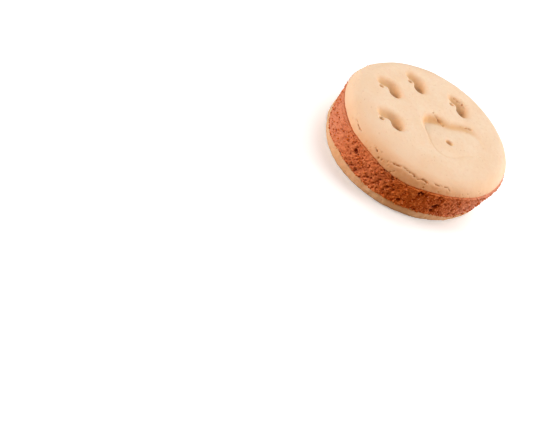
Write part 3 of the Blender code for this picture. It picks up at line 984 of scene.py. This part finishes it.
def dough_material():
    """Pale baked dough: a fine dry grain, warmer blotches and baked edges, and painted shade towards
    the front, in the print, in the cracks and in the pores.
    """
    nodes = Nodes("baked_dough")
    blotches = nodes.spread(nodes.noise(7.0, 4.0), 0.4, 0.65)
    colour = nodes.mix(blotches, DOUGH_PALE, DOUGH_WARM)
    # Baking on the low shoulder, and painted shade towards the front.
    baked = nodes.spread(nodes.attribute("baking_and_painted_shade"), 0.02, 0.8)
    colour = nodes.mix(baked, colour, DOUGH_BAKED_AND_SHADED)
    grain = nodes.spread(nodes.noise(1.1, 4.0, 0.65), 0.35, 0.65, 0.0, 0.3)
    colour = nodes.mix(grain, colour, DOUGH_GRAIN)
    # Painted shade in the print.
    pressed = nodes.spread(nodes.attribute("dent"), 0.03, 0.7, 0.0, 0.9)
    colour = nodes.mix(pressed, colour, DOUGH_PRESSED)
    # Deeper painted shade at the toes' heels and in the holes.
    heel = nodes.spread(nodes.attribute("dent"), 0.75, 1.35, 0.0, 0.75)
    colour = nodes.mix(heel, colour, DOUGH_HEEL)
    specks = nodes.spread(nodes.noise(0.55, 2.0), 0.66, 0.74, 0.0, 0.35)
    colour = nodes.mix(specks, colour, DOUGH_SPECK)
    # Painted shade in the cracks, pores, holes and steep walls of the print.
    colour = nodes.mix(nodes.spread(nodes.attribute("painted_shade"), 0.05, 0.9), colour, DOUGH_SHADED)
    nodes.link(colour, nodes.shader.inputs["Base Color"])
    roughness = nodes.spread(nodes.noise(1.2), 0.3, 0.7, 0.72, 0.9)
    nodes.link(roughness, nodes.shader.inputs["Roughness"])
    nodes.shader.inputs["Specular IOR Level"].default_value = 0.25
    nodes.shader.inputs["Subsurface Weight"].default_value = 0.12
    nodes.shader.inputs["Subsurface Radius"].default_value = (1.0, 0.5, 0.25)
    nodes.shader.inputs["Subsurface Scale"].default_value = 1.2 * MM
    normal = nodes.bump(nodes.noise(0.8, 4.0, 0.6), 0.5, 0.1)
    normal = nodes.bump(nodes.noise(0.22, 2.0), 0.45, 0.04, normal)
    nodes.link(normal, nodes.shader.inputs["Normal"])
    return nodes.material


# Painted highlight on the filling's proud bits, and the tint of light crumbs.
RED_LIGHT = (0.82, 0.28, 0.08)
RED_MIDDLE = (0.72, 0.19, 0.035)
RED_DEEP = (0.55, 0.10, 0.006)
# Painted light on the filling's lit sides, and the tint of pale crumbs.
RED_PALE = (0.79, 0.33, 0.22)
# Painted shade in the filling's pits, and the colour of random dark flecks.
RED_PIT = (0.17, 0.018, 0.003)


def filling_material():
    """The red filling: crumbs of two reds, painted shade in the pits between them, painted highlight on
    the proud bits, painted light on the sides that face the fill lights, and a dry, rough surface.
    """
    nodes = Nodes("red_filling")
    mottled = nodes.spread(nodes.noise(0.5, 3.0, 0.6), 0.4, 0.6)
    colour = nodes.mix(mottled, RED_DEEP, RED_MIDDLE)
    # Painted highlight on the filling's proud bits; the crumbs' own random tints use it too.
    proud = nodes.spread(nodes.attribute("proud"), 0.0, 1.0, 0.0, 0.75)
    colour = nodes.mix(proud, colour, RED_LIGHT)
    # Painted light on the filling's lit sides; the pale crumbs use it too.
    pale = nodes.spread(nodes.attribute("pale"), 0.0, 1.2, 0.0, 0.75)
    colour = nodes.mix(pale, colour, RED_PALE)
    # Painted shade in the pits.
    colour = nodes.mix(nodes.spread(nodes.attribute("painted_shade"), 0.1, 0.8), colour, RED_PIT)
    nodes.link(nodes.spread(nodes.noise(0.6), 0.3, 0.7, 0.6, 0.9), nodes.shader.inputs["Roughness"])
    nodes.shader.inputs["Specular IOR Level"].default_value = 0.1
    flecks = nodes.spread(nodes.noise(0.33, 2.0), 0.6, 0.68, 0.0, 0.5)
    colour = nodes.mix(flecks, colour, RED_PIT)
    nodes.link(colour, nodes.shader.inputs["Base Color"])
    normal = nodes.bump(nodes.cells(0.45), 0.8, 0.14)
    normal = nodes.bump(nodes.noise(0.2, 3.0), 0.6, 0.05, normal)
    nodes.link(normal, nodes.shader.inputs["Normal"])
    return nodes.material


def floor_material():
    """A plain white studio floor with a trace of tone."""
    nodes = Nodes("studio_floor")
    tone = nodes.spread(nodes.noise(60.0), 0.3, 0.7)
    nodes.link(nodes.mix(tone, (0.9, 0.9, 0.9), (0.92, 0.92, 0.92)), nodes.shader.inputs["Base Color"])
    nodes.shader.inputs["Roughness"].default_value = 0.95
    nodes.shader.inputs["Specular IOR Level"].default_value = 0.0
    nodes.shader.inputs["Emission Color"].default_value = (1.0, 1.0, 1.0, 1.0)
    nodes.shader.inputs["Emission Strength"].default_value = 0.3
    return nodes.material


# Stage, lights and camera. Each light has a name, a direction, an elevation, a size in metres, a
# power in watts and a colour.

FLOOR_SIZE = 3.0
FLOOR_DROP = 0.02
LIGHT_DISTANCE = 0.6
LIGHTS = (
    ("key", 15.0, 66.0, 0.35, 2.26, (1.0, 1.0, 1.0)),
    ("left_fill", 138.0, 15.0, 0.25, 3.45, (1.0, 0.98, 0.96)),
    ("right_fill", 310.0, 15.0, 0.25, 3.6, (1.0, 0.97, 0.95)),
    ("front_fill", 212.0, 10.0, 0.4, 1.3, (1.0, 0.53, 0.16)),
)
AMBIENT_COLOUR = (1.0, 0.8, 0.6, 1.0)
AMBIENT_STRENGTH = 0.05
CAMERA_PLACE = (-94.49, -38.37, 74.62)
CAMERA_TURN = (32.33, -16.89, -28.36)
CAMERA_LENS = 27.02
SENSOR_WIDTH = 36.0
CAMERA_CLIP = 0.005


def stage_floor():
    """A large plain floor just under the biscuit."""
    half = 0.5 * FLOOR_SIZE
    mesh = bpy.data.meshes.new("studio_floor")
    corners = [(-half, -half), (half, -half), (half, half), (-half, half)]
    mesh.from_pydata([(x, y, -FLOOR_DROP * MM) for x, y in corners], [], [(0, 1, 2, 3)])
    mesh.materials.append(floor_material())
    floor = bpy.data.objects.new("studio_floor", mesh)
    bpy.context.scene.collection.objects.link(floor)
    floor.visible_diffuse = False
    floor.visible_glossy = False


def area_light(name, direction, elevation, size, power, colour):
    """A square soft light that looks at the biscuit from a direction and an elevation."""
    light = bpy.data.lights.new(name, "AREA")
    light.size = size
    light.energy = power
    light.color = colour
    holder = bpy.data.objects.new(name, light)
    flat = LIGHT_DISTANCE * math.cos(rad(elevation))
    height = LIGHT_DISTANCE * math.sin(rad(elevation))
    place = Vector((flat * math.cos(rad(direction)), flat * math.sin(rad(direction)), height))
    holder.location = place
    holder.rotation_euler = place.to_track_quat("Z", "Y").to_euler()
    holder.visible_camera = False
    bpy.context.scene.collection.objects.link(holder)


def lights():
    """Plain soft studio light: a broad key from above, a fill from either end of the picture and a
    warm one from the front."""
    for settings in LIGHTS:
        area_light(*settings)
    world = bpy.data.worlds.new("studio")
    world.use_nodes = True
    background = world.node_tree.nodes["Background"]
    background.inputs["Color"].default_value = AMBIENT_COLOUR
    background.inputs["Strength"].default_value = AMBIENT_STRENGTH
    bpy.context.scene.world = world
    bpy.context.scene.view_settings.view_transform = "Standard"


def camera():
    """The camera, at the height and angle from which the biscuit was seen."""
    lens = bpy.data.cameras.new("camera")
    lens.sensor_width = SENSOR_WIDTH
    lens.lens = CAMERA_LENS
    lens.clip_start = CAMERA_CLIP
    holder = bpy.data.objects.new("camera", lens)
    holder.location = Vector(CAMERA_PLACE) * MM
    holder.rotation_euler = Euler([math.radians(turn) for turn in CAMERA_TURN])
    bpy.context.scene.collection.objects.link(holder)
    bpy.context.scene.camera = holder


def main():
    """Makes the four pieces of the biscuit, each on its solid, and then the studio."""
    camera()
    dough = dough_material()
    red = filling_material()
    pieces = (
        (upper_layer(dough), "top_biscuit", "baked_dough_top"),
        (filling_side(red), "filling", "red_filling"),
        (crumbs(red), "filling", "red_filling"),
        (lower_layer(dough), "bottom_biscuit", "baked_dough_base"),
    )
    for piece, node, slot in pieces:
        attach(piece, "root")
        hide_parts(node)
    stage_floor()
    lights()


main()
